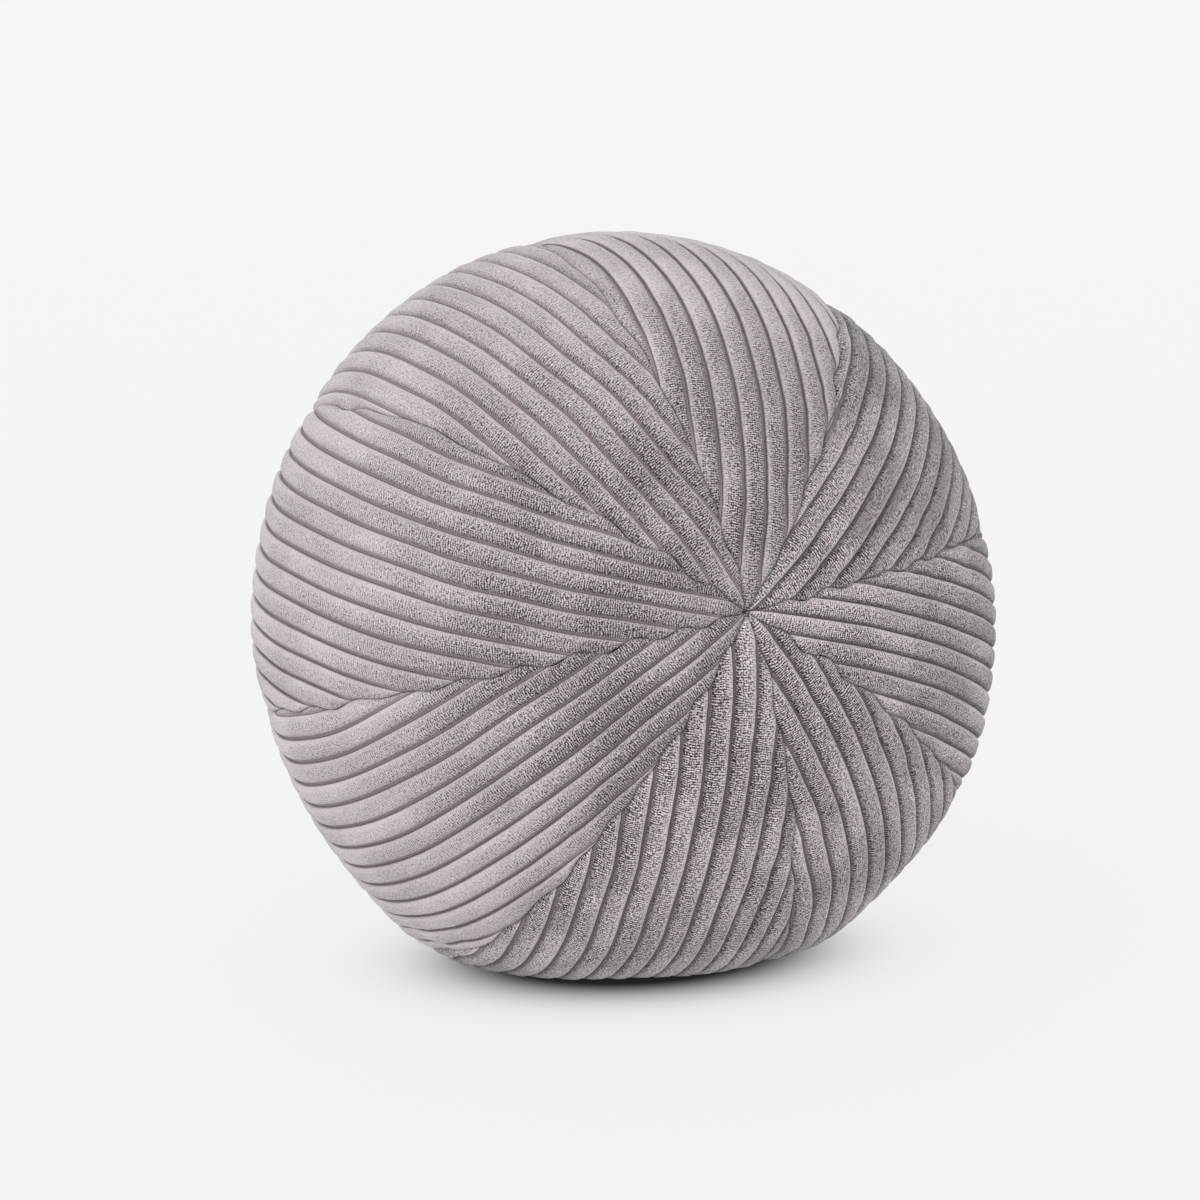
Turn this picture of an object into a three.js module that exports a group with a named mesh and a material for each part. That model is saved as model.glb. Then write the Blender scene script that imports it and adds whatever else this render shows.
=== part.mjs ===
// A ball pillow of wide wale corduroy, sewn from eight pointed gores.
//
// Units are millimetres and +Z is up. The origin is the middle of the small
// flat spot that the pillow rests on. The points of the gores meet at two
// poles, and the axis through them runs from back to front and tips up a
// little at the front. Each gore is a solid of its own: the cut panel with its
// raised wales, and the wedge of filling behind it, down to the polar axis.

import * as THREE from 'three';

const radians = THREE.MathUtils.degToRad;

// The stuffed ball, without its wales and seams.
const ballRadius = 150;
const poleFlattening = 0.09;
const shoulderFlattening = 0.03;
const poleTilt = radians(11.5);
const centreHeight = 138.5;

// How the ball gives where it rests: it flattens underneath and swells round
// the flat spot. Angles are taken from straight down.
const sagDepth = 7.4;
const sagReach = radians(24);
const swellHeight = 1.6;
const swellAngle = radians(32);
const swellReach = radians(14);

// Uneven filling. A turn of 0 is the front and 90 the right, a rise of 0 is
// level and 90 the top, and height is how far the filling pushes the cloth.
const lumps = [
  { turn: 65, rise: -27, height: 3, reach: 15 },
  { turn: 79, rise: 35, height: -2.2, reach: 24 },
  { turn: -140, rise: 67, height: 2.0, reach: 22 },
  { turn: -104, rise: -25, height: -2.0, reach: 18 },
  { turn: -112, rise: 10, height: -1.8, reach: 14 },
  { turn: -20, rise: -74, height: -3.4, reach: 12 },
  { turn: -106, rise: -61, height: 7.5, reach: 12 },
  { turn: 70, rise: -61, height: 3.4, reach: 10 },
];

// The gores in their order round the pole, seen from the front. Seam is the
// angle of the seam where a gore starts, anticlockwise from the right. The
// other columns place its wales: groove is how far the first groove lies from
// the gore's middle line at the front pole, pitch is the width of a wale, and
// spread is the share by which the filling stretches the wales from pole to
// waist. Lean is how far they drift sideways at the waist, bow how far they bend
// aside in the front half, and slant how far they end up aside at the back pole.
const gores = [
  {
    name: 'gore_right',
    seam: 326.5, groove: 8.5, pitch: 8.47, spread: 0.2, lean: -10.4, bow: 7.9, slant: 27.6,
  },
  {
    name: 'gore_upper_right',
    seam: 369.5, groove: -1, pitch: 9.22, spread: 0.16, lean: 31.3, bow: -4.7, slant: 34.5,
  },
  {
    name: 'gore_top',
    seam: 414.5, groove: -2.5, pitch: 10.11, spread: 0.31, lean: 1.4, bow: -2.3, slant: 76.1,
  },
  {
    name: 'gore_upper_left',
    seam: 461, groove: -1.7, pitch: 9.29, spread: 0.25, lean: 0.9, bow: -3.6, slant: 1,
  },
  {
    name: 'gore_left',
    seam: 502.5, groove: -2.6, pitch: 8.85, spread: 0.42, lean: -20.8, bow: 8.6, slant: -58.4,
  },
  {
    name: 'gore_lower_left',
    seam: 550.5, groove: 5.8, pitch: 8.63, spread: 0.36, lean: 19.8, bow: -6.5, slant: -36.2,
  },
  {
    name: 'gore_bottom',
    seam: 597.5, groove: -6.9, pitch: 9.16, spread: -0.09, lean: 11, bow: 3.6, slant: 34.3,
  },
  {
    name: 'gore_lower_right',
    seam: 646, groove: 1.8, pitch: 9.09, spread: 0.04, lean: -14.1, bow: 6.2, slant: -17.6,
  },
];
const fullTurn = 360;
// The sine of the angle from the pole at which a wale has its pitch.
const pitchLevel = 0.7;

// The section of one wale, from one groove to the next. Share is the place
// across the wale, and drop is how far the cloth lies below its crown.
const waleSection = [
  { share: 0, drop: 2.1 },
  { share: 0.2, drop: 0.5 },
  { share: 0.5, drop: 0 },
  { share: 0.8, drop: 0.5 },
];

// Seams pull the cloth in, in a narrow crease inside a wide hollow, and the
// wales flatten into them. The poles are pulled in as well.
const creaseDepth = 1.8;
const creaseReach = 5;
const hollowDepth = 0.6;
const hollowReach = 22;
const waleFade = 4;
const poleDepth = 1;
const poleReach = 6;

// Gores stand this far apart, so that no two of them touch.
const seamGap = 0.3;

// Points along a wale, as angles along the gore: one row each rowStep, and one
// close to each seam, with no row nearer to that than shoulderClear.
const rowStep = radians(10);
const shoulderStep = radians(3.4);
const shoulderClear = radians(1.7);
const shortestWale = radians(24);
const searchStep = radians(1);
const searchRounds = 30;

const right = new THREE.Vector3(1, 0, 0);
const pole = new THREE.Vector3(0, -Math.cos(poleTilt), Math.sin(poleTilt));
const up = new THREE.Vector3().crossVectors(pole, right);
const down = new THREE.Vector3(0, 0, -1);

function hill(distance, reach) {
  return Math.exp(-((distance / reach) ** 2));
}

function profileRadius(poleAngle) {
  const towardsPole = poleFlattening * Math.cos(poleAngle) ** 2;
  const halfwayUp = shoulderFlattening * Math.sin(2 * poleAngle) ** 2;
  return ballRadius * (1 - towardsPole - halfwayUp);
}

function lumpDirection({ turn, rise }) {
  const level = Math.cos(radians(rise));
  const x = level * Math.sin(radians(turn));
  const y = -level * Math.cos(radians(turn));
  return new THREE.Vector3(x, y, Math.sin(radians(rise)));
}

const lumpDirections = lumps.map(lumpDirection);

// The ball's radius towards a direction, before its wales and seams.
function ballSurface(direction) {
  const poleAngle = direction.angleTo(pole);
  const fromDown = direction.angleTo(down);
  let radius = profileRadius(poleAngle);
  radius -= sagDepth * hill(fromDown, sagReach);
  radius += swellHeight * hill(fromDown - swellAngle, swellReach);
  lumps.forEach(({ height, reach }, index) => {
    radius += height * hill(direction.angleTo(lumpDirections[index]), radians(reach));
  });
  return radius;
}

// A gore with its own directions: middle points from the ball's centre to the
// gore's middle line, and side points across it. The whole gore stands off from
// the centre a little, which opens half of the gap at each of its two seams.
function placeGore(gore, index) {
  const isLast = index === gores.length - 1;
  const nextSeam = isLast ? gores[0].seam + fullTurn : gores[index + 1].seam;
  const halfWidth = radians(nextSeam - gore.seam) / 2;
  const azimuth = radians(gore.seam) + halfWidth;
  const middle = right.clone().multiplyScalar(Math.cos(azimuth));
  middle.addScaledVector(up, Math.sin(azimuth));
  const side = new THREE.Vector3().crossVectors(pole, middle);
  const standOff = middle.clone().multiplyScalar(seamGap / 2 / Math.sin(halfWidth));
  return { ...gore, halfWidth, middle, side, standOff };
}

// How far the seam lies from the middle line, at an angle along the gore.
function seamOffset(gore, along) {
  const sideAngle = Math.atan(Math.tan(gore.halfWidth) * Math.sin(along));
  return sideAngle * profileRadius(along);
}

// Where the line at a place across the wales lies, at an angle along the gore.
// Place counts in wales from the first groove.
function waleOffset(gore, place, along) {
  const waist = Math.sin(along);
  const frontHalf = Math.sin(2 * along) * (1 + Math.cos(along)) / 2;
  const backwards = ((1 - Math.cos(along)) / 2) ** 2;
  const drift = gore.groove + gore.lean * waist + gore.bow * frontHalf + gore.slant * backwards;
  return drift + place * gore.pitch * (1 + gore.spread * (waist - pitchLevel));
}

// The point on the cloth at an offset from the middle line and an angle along
// the gore. Drop is the depth of the wale's section there. The floor presses
// flat what would reach below it, which makes the flat spot.
function clothPoint(gore, offset, along, drop) {
  const sideAngle = offset / profileRadius(along);
  const direction = pole.clone().multiplyScalar(Math.cos(along));
  direction.addScaledVector(gore.middle, Math.sin(along));
  direction.multiplyScalar(Math.cos(sideAngle));
  direction.addScaledVector(gore.side, Math.sin(sideAngle));

  const radius = ballSurface(direction);
  const towardsMiddle = direction.dot(gore.middle) * Math.sin(gore.halfWidth);
  const towardsSide = Math.abs(direction.dot(gore.side)) * Math.cos(gore.halfWidth);
  const fromSeam = radius * Math.max(0, towardsMiddle - towardsSide);
  const fromPole = radius * Math.acos(Math.min(1, Math.abs(direction.dot(pole))));
  const crease = creaseDepth * hill(fromSeam, creaseReach);
  const hollow = hollowDepth * hill(fromSeam, hollowReach);
  const wale = drop * (1 - hill(fromSeam, waleFade));
  const dimple = poleDepth * hill(fromPole, poleReach);

  direction.multiplyScalar(radius - crease - hollow - wale - dimple);
  const point = direction.add(gore.standOff);
  point.z = Math.max(point.z, -centreHeight);
  return point;
}

function isOnGore(gore, place, along) {
  return Math.abs(waleOffset(gore, place, along)) < seamOffset(gore, along);
}

// Where a line meets the seam, between an angle past the seam and one on the
// gore, found by halving.
function meetSeam(gore, place, past, on) {
  let outer = past;
  let inner = on;
  for (let round = 0; round < searchRounds; round += 1) {
    const trial = (outer + inner) / 2;
    if (isOnGore(gore, place, trial)) inner = trial;
    else outer = trial;
  }
  return inner;
}

// The stretch of a line that lies on the gore, or null where it is too short.
function lineStretch(gore, place) {
  let first = null;
  let last = null;
  for (let along = searchStep; along < Math.PI; along += searchStep) {
    if (isOnGore(gore, place, along)) {
      first ??= along;
      last = along;
    }
  }
  if (first === null || last - first < shortestWale) return null;
  const start = meetSeam(gore, place, first - searchStep, first);
  const end = meetSeam(gore, place, last + searchStep, last);
  return { start, end };
}

// Every line of the gore, from one side to the other: four to a wale, as the
// wale's section has them.
function goreLines(gore) {
  const widest = gore.halfWidth * ballRadius + Math.abs(gore.lean) + Math.abs(gore.slant);
  const reach = Math.ceil(widest / gore.pitch) + 1;
  const lines = [];
  for (let wale = -reach; wale <= reach; wale += 1) {
    for (const { share, drop } of waleSection) {
      const place = wale + share;
      const stretch = lineStretch(gore, place);
      if (stretch) lines.push({ place, drop, ...stretch });
    }
  }
  return lines;
}

// The angles along the gore at which a stretch has its rows of points.
function rowAngles(start, end, margin) {
  const angles = [];
  const count = Math.round(Math.PI / rowStep);
  for (let row = 1; row < count; row += 1) {
    const along = row * rowStep;
    if (along > start + margin && along < end - margin) angles.push(along);
  }
  return angles;
}

// Collects points and triangles and turns them into a geometry.
class Shell {
  constructor() {
    this.positions = [];
    this.triangles = [];
  }

  addPoint(point) {
    this.positions.push(point.x, point.y, point.z);
    return this.positions.length / 3 - 1;
  }

  addTriangle(a, b, c) {
    if (a !== b && b !== c && c !== a) this.triangles.push(a, b, c);
  }

  // Joins two rows of points that run the same way. Each row holds the number
  // of each point and its angle along the gore.
  zip(near, far) {
    let i = 0;
    let j = 0;
    while (i < near.length - 1 || j < far.length - 1) {
      const nearEnds = i === near.length - 1;
      const farEnds = j === far.length - 1;
      if (farEnds || (!nearEnds && near[i + 1].along <= far[j + 1].along)) {
        this.addTriangle(near[i].point, near[i + 1].point, far[j].point);
        i += 1;
      } else {
        this.addTriangle(near[i].point, far[j + 1].point, far[j].point);
        j += 1;
      }
    }
  }

  // Closes the flat side from the ball's centre to a row of points. The side
  // with sign 1 faces the way that the gores are counted.
  fan(centre, row, sign) {
    for (let i = 0; i < row.length - 1; i += 1) {
      if (sign > 0) this.addTriangle(centre, row[i], row[i + 1]);
      else this.addTriangle(centre, row[i + 1], row[i]);
    }
  }

  geometry() {
    const geometry = new THREE.BufferGeometry();
    geometry.setAttribute('position', new THREE.Float32BufferAttribute(this.positions, 3));
    geometry.setIndex(this.triangles);
    return geometry;
  }
}

// The row of points along one line of a wale.
function addLine(shell, gore, line) {
  const { place, drop, start, end } = line;
  const inner = rowAngles(start, end, shoulderStep + shoulderClear);
  const angles = [start, start + shoulderStep, ...inner, end - shoulderStep, end];
  return angles.map((along) => {
    const offset = waleOffset(gore, place, along);
    return { along, point: shell.addPoint(clothPoint(gore, offset, along, drop)) };
  });
}

// The row of points along the seam on one side, past the outermost line.
function addSeam(shell, gore, outermost, sign) {
  const first = outermost[0];
  const last = outermost[outermost.length - 1];
  const inner = rowAngles(first.along, last.along, shoulderStep).map((along) => {
    const offset = sign * seamOffset(gore, along);
    return { along, point: shell.addPoint(clothPoint(gore, offset, along, 0)) };
  });
  return [first, ...inner, last];
}

function goreGeometry(gore) {
  const shell = new Shell();
  const centre = shell.addPoint(gore.standOff);
  const front = shell.addPoint(clothPoint(gore, 0, 0, 0));
  const back = shell.addPoint(clothPoint(gore, 0, Math.PI, 0));

  const lines = goreLines(gore);
  const rows = lines.map((line) => addLine(shell, gore, line));
  const isRight = lines.map((line) => waleOffset(gore, line.place, line.start) > 0);
  const split = isRight.indexOf(true);
  const leftRows = rows.slice(0, split);
  const rightRows = rows.slice(split);

  const leftSeam = addSeam(shell, gore, leftRows[0], -1);
  const rightSeam = addSeam(shell, gore, rightRows[rightRows.length - 1], 1);
  const across = [leftSeam, ...rows, rightSeam];
  for (let i = 0; i < across.length - 1; i += 1) shell.zip(across[i], across[i + 1]);

  const nearLeft = leftRows[leftRows.length - 1];
  const nearRight = rightRows[0];
  shell.addTriangle(front, nearLeft[0].point, nearRight[0].point);
  shell.addTriangle(back, nearRight[nearRight.length - 1].point, nearLeft[nearLeft.length - 1].point);

  const sideEdge = (outwards, seam) => {
    const starts = outwards.map((row) => row[0].point);
    const ends = outwards.map((row) => row[row.length - 1].point).reverse();
    const between = seam.slice(1, -1).map(({ point }) => point);
    return [front, ...starts, ...between, ...ends, back];
  };
  shell.fan(centre, sideEdge([...leftRows].reverse(), leftSeam), -1);
  shell.fan(centre, sideEdge(rightRows, rightSeam), 1);
  return shell.geometry();
}

// Corduroy in warm grey. The upper right gore shows its pile from the dark side.
const clothColour = '#a39b9c';
const darkColour = '#958c8e';
const clothRoughness = 0.95;

function clothMaterial(name) {
  const color = name === 'gore_upper_right' ? darkColour : clothColour;
  return new THREE.MeshStandardMaterial({ color, roughness: clothRoughness, metalness: 0 });
}

function makeGore(gore) {
  const geometry = goreGeometry(gore);
  geometry.computeVertexNormals();
  const mesh = new THREE.Mesh(geometry, clothMaterial(gore.name));
  mesh.name = gore.name;
  return mesh;
}

const pillow = new THREE.Group();
pillow.name = 'ball_pillow';
pillow.position.z = centreHeight;
gores.map(placeGore).forEach((gore) => pillow.add(makeGore(gore)));

export default pillow;
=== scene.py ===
# %% [markdown]
# # A ball pillow of wide wale corduroy
#
# The real pillow is a cloth ball about 30 cm across. A maker cuts eight pointed
# panels, called gores, sews them side by side so that their points meet at two
# poles, and stuffs the cover. Wide wale corduroy has raised, furry ribs, the
# wales, with a narrow strip of bare cloth between each two.
#
# This lesson builds one fine mesh for each gore, around a rougher model that
# fixes the size and place of everything.

# %% Load the fixed frame
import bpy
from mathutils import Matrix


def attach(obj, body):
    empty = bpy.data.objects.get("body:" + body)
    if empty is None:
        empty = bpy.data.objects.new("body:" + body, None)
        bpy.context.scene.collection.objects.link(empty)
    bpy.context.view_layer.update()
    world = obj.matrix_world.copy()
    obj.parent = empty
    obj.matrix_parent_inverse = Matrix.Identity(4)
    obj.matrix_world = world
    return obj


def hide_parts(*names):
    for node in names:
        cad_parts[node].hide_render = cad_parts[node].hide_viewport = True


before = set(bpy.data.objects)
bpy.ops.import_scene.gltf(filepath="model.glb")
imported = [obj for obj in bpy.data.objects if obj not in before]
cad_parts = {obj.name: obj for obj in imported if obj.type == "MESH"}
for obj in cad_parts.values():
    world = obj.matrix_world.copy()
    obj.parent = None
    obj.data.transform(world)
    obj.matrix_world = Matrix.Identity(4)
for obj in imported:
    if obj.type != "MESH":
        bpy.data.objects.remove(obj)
print("The frame's rough pieces:", len(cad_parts))

# %% The tools of the lesson
from functools import partial
from math import cos, pi, radians, sin, tan
from types import SimpleNamespace

import bpy
import numpy as np
from mathutils import Vector

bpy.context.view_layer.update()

# %% [markdown]
# ## The camera
#
# The camera comes first, because every look at the pillow needs it. A long lens
# from almost two metres away gives the calm perspective of a product picture.
# The camera aims at the ball's centre, and a small shift of the picture puts
# the pillow where it belongs in the frame.

# %% The camera
BALL_CENTRE = Vector((0, 0, 0.1385))
CAMERA_TURN = radians(-20.3)
CAMERA_RISE = radians(12)
CAMERA_DISTANCE = 1.8
LENS = 136.5
SHIFT = (-0.021, 0.0113)

camera_data = bpy.data.cameras.new("Camera")
camera_data.lens = LENS
camera_data.shift_x, camera_data.shift_y = SHIFT
camera = bpy.data.objects.new("Camera", camera_data)
bpy.context.scene.collection.objects.link(camera)
bpy.context.scene.camera = camera

level = cos(CAMERA_RISE)
towards_camera = Vector((sin(CAMERA_TURN) * level, -cos(CAMERA_TURN) * level, sin(CAMERA_RISE)))
camera.location = BALL_CENTRE + CAMERA_DISTANCE * towards_camera
camera.rotation_euler = towards_camera.to_track_quat("Z", "Y").to_euler()
print("The camera stands at", [round(value, 3) for value in camera.location])

# %% [markdown]
# ## The shape of the stuffed ball
#
# A stuffed ball is never quite round. The poles are pulled in, so it is a
# little flat from front to back, the underside gives where it rests, and the
# filling has soft lumps. A sphere could be pushed about by hand. Here the
# distance from the centre is a formula instead, because all eight gores then
# agree on where the cloth is, however fine their meshes are.

# %% The ball's radius in any direction
BALL_RADIUS = 0.150
POLE_FLATTENING = 0.09
SHOULDER_FLATTENING = 0.03
POLE_TILT = radians(11.5)

right = np.array([1.0, 0.0, 0.0])
pole = np.array([0.0, -cos(POLE_TILT), sin(POLE_TILT)])
up = np.cross(pole, right)
down = np.array([0.0, 0.0, -1.0])
TINY = 1e-6


def hill(distance, reach):
    """1 at no distance, falling smoothly to nothing past the reach."""
    return np.exp(-((distance / reach) ** 2))


def profile_radius(along):
    """The radius at an angle from the front pole, before sag and lumps."""
    towards_pole = POLE_FLATTENING * np.cos(along) ** 2
    halfway_up = SHOULDER_FLATTENING * np.sin(2 * along) ** 2
    return BALL_RADIUS * (1 - towards_pole - halfway_up)


def angle_to(directions, axis):
    return np.arccos(np.clip(directions @ axis, -1, 1))


# %% Where the ball gives
SAG_DEPTH = 0.0074
SAG_REACH = radians(24)
SWELL_HEIGHT = 0.0016
SWELL_ANGLE = radians(32)
SWELL_REACH = radians(14)
# Turn (0 is the front, 90 the right), rise, height in metres and reach.
LUMPS = (
    (65, -27, 0.0030, 15),
    (79, 35, -0.0022, 24),
    (-140, 67, 0.0020, 22),
    (-104, -25, -0.0020, 18),
    (-112, 10, -0.0018, 14),
    (-20, -74, -0.0034, 12),
    (-106, -61, 0.0075, 12),
    (70, -61, 0.0048, 10),
)


def ball_surface(directions):
    """The radius of the stuffed ball, before its wales and seams."""
    from_down = angle_to(directions, down)
    radius = profile_radius(angle_to(directions, pole))
    radius = radius - SAG_DEPTH * hill(from_down, SAG_REACH)
    radius = radius + SWELL_HEIGHT * hill(from_down - SWELL_ANGLE, SWELL_REACH)
    for turn, rise, height, reach in LUMPS:
        turn, rise = radians(turn), radians(rise)
        centre = np.array([cos(rise) * sin(turn), -cos(rise) * cos(turn), sin(rise)])
        radius = radius + height * hill(angle_to(directions, centre), radians(reach))
    return radius


print("Radius at the pole and at the waist, in mm:", 1000 * profile_radius(np.array([0, pi / 2])))

# %% [markdown]
# ## Eight gores
#
# Each gore runs from the front pole to the back pole, between two seams. Cut
# one by one from ribbed cloth, they are never alike: in each one the wales
# start elsewhere, lean a little to one side and are stretched by the filling
# in their own way. A small table keeps those differences.

# %% The gores and how their wales lie
# Name, angle of the seam where it starts, then for the wales: place of the first
# groove (mm), width (mm), stretch at the waist, and lean, bow and slant (mm).
# The last two are half the width of the bare strip in a groove, as a share of a
# wale, and the side that the nap is brushed to, 1 or -1, which also picks the
# flank of each wale that carries painted shade.
GORES = (
    ("right", 326.5, 8.5, 8.47, 0.20, -10.4, 7.9, 27.6, 0.040, 1),
    ("upper_right", 369.5, -1.0, 9.22, 0.16, 31.3, -4.7, 34.5, 0.046, -1),
    ("top", 414.5, -2.5, 10.11, 0.31, 1.4, -2.3, 76.1, 0.052, 1),
    ("upper_left", 461.0, -1.7, 9.29, 0.25, 0.9, -3.6, 1.0, 0.056, -1),
    ("left", 502.5, -2.6, 8.85, 0.42, -20.8, 8.6, -58.4, 0.056, -1),
    ("lower_left", 550.5, 5.8, 8.63, 0.36, 19.8, -6.5, -36.2, 0.056, -1),
    ("bottom", 597.5, -6.9, 9.16, -0.09, 11.0, 3.6, 34.3, 0.060, 1),
    ("lower_right", 646.0, 1.8, 9.09, 0.04, -14.1, 6.2, -17.6, 0.052, 1),
)
MM = 0.001
PITCH_LEVEL = 0.7
SEAM_GAP = 0.0002


def place_gore(number):
    name, seam, groove, pitch, spread, lean, bow, slant, strip, nap = GORES[number]
    is_last = number == len(GORES) - 1
    next_seam = GORES[0][1] + 360 if is_last else GORES[number + 1][1]
    half_width = radians(next_seam - seam) / 2
    azimuth = radians(seam) + half_width
    middle = right * cos(azimuth) + up * sin(azimuth)
    return SimpleNamespace(
        name=name, number=number, half_width=half_width, middle=middle,
        side=np.cross(pole, middle), stand_off=middle * SEAM_GAP / 2 / sin(half_width),
        groove=groove * MM, pitch=pitch * MM, spread=spread, lean=lean * MM, bow=bow * MM,
        slant=slant * MM, strip=strip, nap=nap)


gores = [place_gore(number) for number in range(len(GORES))]
for gore in gores:
    print(gore.name, "is", round(1000 * 2 * gore.half_width * BALL_RADIUS), "mm wide")


# %% Places on a gore
def seam_angle(gore, along):
    """The angle from the middle line to the seam."""
    return np.arctan(tan(gore.half_width) * np.sin(along))


def direction_to(gore, side_angle, along):
    """From the ball's centre to places on a gore, as rows of x, y and z."""
    side_angle, along = np.broadcast_arrays(side_angle, along)
    across = np.cos(side_angle)[..., None]
    forwards = np.cos(along)[..., None] * pole + np.sin(along)[..., None] * gore.middle
    return across * forwards + np.sin(side_angle)[..., None] * gore.side


def wale_offset(gore, place, along):
    """How far a line across the wales lies from the middle line. Place counts in wales."""
    waist = np.sin(along)
    front_half = np.sin(2 * along) * (1 + np.cos(along)) / 2
    backwards = ((1 - np.cos(along)) / 2) ** 2
    drift = gore.groove + gore.lean * waist + gore.bow * front_half + gore.slant * backwards
    return drift + place * gore.pitch * (1 + gore.spread * (waist - PITCH_LEVEL))


waist_widths = [float(wale_offset(gore, 1, pi / 2) - wale_offset(gore, 0, pi / 2)) for gore in gores]
print("A wale at the waist is", [round(1000 * width, 1) for width in waist_widths], "mm wide")

# %% [markdown]
# ## Small unevenness, the same every time
#
# Cloth wanders: a groove is never a drawn line, and the pile isn't equally
# high. Adding up a dozen sine waves with random directions gives a smooth,
# natural unevenness. The random numbers start from a fixed seed, so that each
# run of the script makes the same pillow.

# %% A smooth random ripple
WAVES = 14


def ripple(across, along, seed):
    """A smooth random surface with hills about 1 high and waves about 6 units long."""
    random = np.random.default_rng(seed)
    total = 0
    for _ in range(WAVES):
        turn, phase = random.uniform(0, 2 * pi, 2)
        stretch = random.uniform(0.6, 1.4)
        total = total + np.sin(stretch * (cos(turn) * across + sin(turn) * along) + phase)
    return total / np.sqrt(WAVES / 2)


print("A ripple, every two units:", ripple(np.arange(0, 12, 2), 0, 1).round(2))

# %% [markdown]
# ## How the filling pushes the cover
#
# A sewn seam is a little shorter than the cloth beside it, so the stuffed
# cover puckers there. That could be sculpted, but cloth simulation finds it by
# itself: a plain cover with welded seams gets air pressure from inside, while
# the cloth along the seams shrinks. The simulated cover is far too coarse for
# wales, so only its puckers are kept, less than a millimetre deep, as a map of
# how far each place moved. Its slower swelling is left out, because the ball's
# own formula gives that.

# %% The plain cover
COLUMNS = 24
COVER_ROWS = 84


def cover_directions():
    """Directions to the cover's points: a row for each angle along, round the whole ball."""
    along = np.linspace(0, pi, COVER_ROWS + 1)[1:-1, None]
    share = np.linspace(-1, 1, COLUMNS + 1)[None, :-1]
    parts = [direction_to(gore, share * seam_angle(gore, along), along) for gore in gores]
    return np.concatenate(parts, axis=1)


def cover_faces(rows, columns):
    """Quads between the rows, and a fan of triangles at each pole."""
    front, back = rows * columns, rows * columns + 1
    faces = []
    for row in range(rows - 1):
        for column in range(columns):
            beside = (column + 1) % columns
            here, there = row * columns, (row + 1) * columns
            faces.append((here + column, there + column, there + beside, here + beside))
    for column in range(columns):
        beside = (column + 1) % columns
        last = (rows - 1) * columns
        faces.append((front, column, beside))
        faces.append((back, last + beside, last + column))
    return faces


def sew_cover(points, rows, columns):
    """The cover as an object, with its seams in a vertex group."""
    mesh = bpy.data.meshes.new("Cover")
    mesh.from_pydata(points.tolist(), [], cover_faces(rows, columns))
    cover = bpy.data.objects.new("Cover", mesh)
    bpy.context.scene.collection.objects.link(cover)
    seams = cover.vertex_groups.new(name="Seams")
    on_seam = [row * columns + seam for row in range(rows) for seam in range(0, columns, COLUMNS)]
    seams.add(on_seam + [rows * columns, rows * columns + 1], 1.0, "REPLACE")
    return cover


print("The plain cover has", (COVER_ROWS - 1) * COLUMNS * len(gores), "points between its poles")

# %% Fill it with air
PRESSURE = 15
SEAM_SHRINK = 0.04


def fill_cover(cover):
    """Adds the cloth simulation: pressure from inside, and seams that shrink."""
    cloth = cover.modifiers.new("Filling", "CLOTH")
    settings = cloth.settings
    settings.quality = 6
    settings.mass = 0.3
    settings.tension_stiffness = 25
    settings.compression_stiffness = 25
    settings.shear_stiffness = 8
    settings.bending_stiffness = 0.4
    settings.use_pressure = True
    settings.uniform_pressure_force = PRESSURE
    settings.vertex_group_shrink = "Seams"
    settings.shrink_min = 0.0
    settings.shrink_max = SEAM_SHRINK
    settings.effector_weights.gravity = 0
    cloth.collision_settings.use_collision = False


# %% Let it settle and measure it
START_SIZE = 0.985
FRAMES = 14


def settled_points(cover):
    """Runs the simulation and reads off where the cover's points come to rest."""
    scene = bpy.context.scene
    for frame_number in range(1, FRAMES + 1):
        scene.frame_set(frame_number)
    settled = cover.evaluated_get(bpy.context.evaluated_depsgraph_get()).to_mesh()
    points = np.empty(len(settled.vertices) * 3)
    settled.vertices.foreach_get("co", points)
    scene.frame_set(1)
    return points.reshape(-1, 3)


def inflate_cover():
    """How far the filling pushes each point of the cover outwards, in metres."""
    directions = cover_directions()
    rows, columns, _ = directions.shape
    flat = np.concatenate([directions.reshape(-1, 3), np.stack([pole, -pole])])
    radius = ball_surface(flat)
    cover = sew_cover(flat * radius[:, None] * START_SIZE, rows, columns)
    fill_cover(cover)
    points = settled_points(cover)
    mesh = cover.data
    bpy.data.objects.remove(cover)
    bpy.data.meshes.remove(mesh)
    outwards = (points * flat).sum(axis=1) - radius
    return outwards[: rows * columns].reshape(rows, columns)


# %% Keep the puckers and cap them
PUCKER_CAP = 0.0009
SMOOTHINGS = 12


def smooth(field):
    """The field without anything shorter than a few centimetres along the seams."""
    for _ in range(SMOOTHINGS):
        padded = np.pad(field, ((1, 1), (0, 0)), mode="edge")
        field = (2 * field + padded[:-2] + padded[2:]) / 4
    return field


pushed = inflate_cover()
puckers = pushed - smooth(pushed)
print("The cover moved, in mm, from and to:", (1000 * np.percentile(pushed, [0, 100])).round(2))
print("Puckers, in mm:", (1000 * np.percentile(puckers, [0, 5, 50, 95, 100])).round(2))
puckers = PUCKER_CAP * np.tanh(puckers / PUCKER_CAP)


# %% Read the puckers at any place
def spline_weights(share):
    """Weights of four neighbours for a smooth curve between points."""
    rest = 1 - share
    return (rest ** 3 / 6, (3 * share ** 3 - 6 * share ** 2 + 4) / 6,
            (3 * rest ** 3 - 6 * rest ** 2 + 4) / 6, share ** 3 / 6)


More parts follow.
